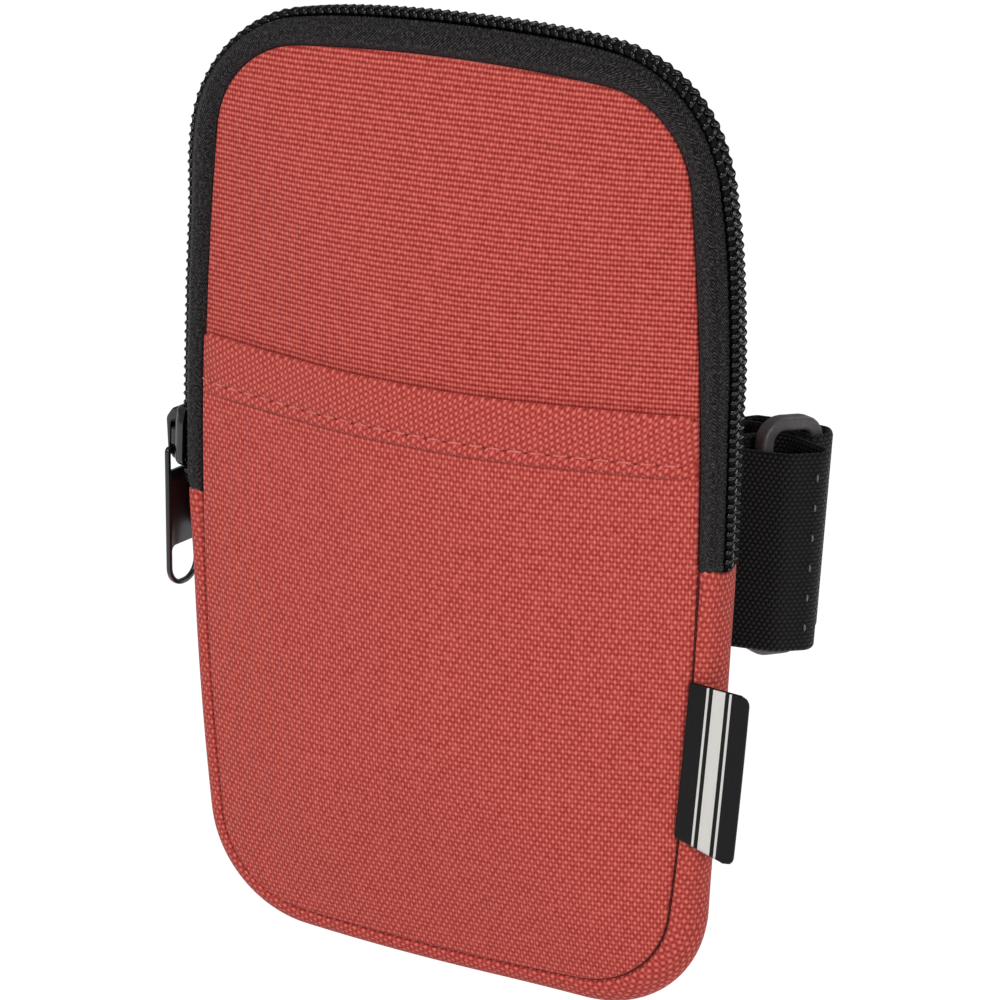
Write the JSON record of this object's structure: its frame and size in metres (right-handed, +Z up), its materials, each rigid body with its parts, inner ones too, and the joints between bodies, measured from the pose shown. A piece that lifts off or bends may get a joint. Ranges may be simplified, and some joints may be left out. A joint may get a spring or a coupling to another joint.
{
  "type": "bottle pouch",
  "caption": "Padded red fabric pouch with a slip pocket, a zip over its top and sides, and a webbing strap that closes round a bottle through a plastic ring.",
  "frame": {"origin": "centre of the strap's loop, where the bottle's axis runs, midway up the strap", "axes": "+X to the right seen from the front, +Y from the pouch's front to its back, +Z up along the bottle"},
  "size_m": [0.119, 0.0517, 0.1753],
  "materials": {
    "red_polyester": "plain woven polyester, matt",
    "padding": "soft foam sheet",
    "lining": "thin woven lining",
    "zip_tape": "herringbone tape",
    "coil_nylon": "glossy nylon",
    "black_enamel": "semi-gloss enamel",
    "label_satin": "woven satin",
    "webbing": "ribbed webbing",
    "ring_plastic": "satin moulded plastic",
    "fastener": "hook and loop pile"
  },
  "bodies": {
    "pouch": {"front_panel": "red_polyester", "back_panel": "red_polyester", "front_pocket": "red_polyester", "lower_gusset": "red_polyester", "front_foam": "padding", "back_foam": "padding", "front_lining": "lining", "back_lining": "lining", "gusset_lining": "lining", "zipper_tape_front": "zip_tape", "zipper_tape_rear": "zip_tape", "zipper_coil_front": "coil_nylon", "zipper_coil_rear": "coil_nylon", "front_binding": "zip_tape", "back_binding": "zip_tape", "side_label": "label_satin", "strap_short_end": "webbing", "strap_band": "webbing", "loop_tape": "fastener", "hook_tape": "fastener"},
    "slider": {"slider_body": "black_enamel"},
    "puller": {"pull_tab": "black_enamel"},
    "ring": {"strap_ring": "ring_plastic"}
  },
  "joints": [
    {"name": "slider_travel", "type": "slide", "parent": "pouch", "child": "slider", "axis": [0.037, 0, 0.9993], "range_m": [-0.002, 0.038]},
    {"name": "puller_swing", "type": "hinge", "parent": "slider", "child": "puller", "pos_m": [-0.05681, -0.02148, 0.0051], "axis": [0.1219, 0.9925, 0], "range_deg": [0, 140]},
    {"name": "ring_swing", "type": "hinge", "parent": "pouch", "child": "ring", "pos_m": [0.0487, -0.00085, 0], "axis": [0, 0.1132, 0.9936], "range_deg": [-2.5, 2.5]}
  ]
}
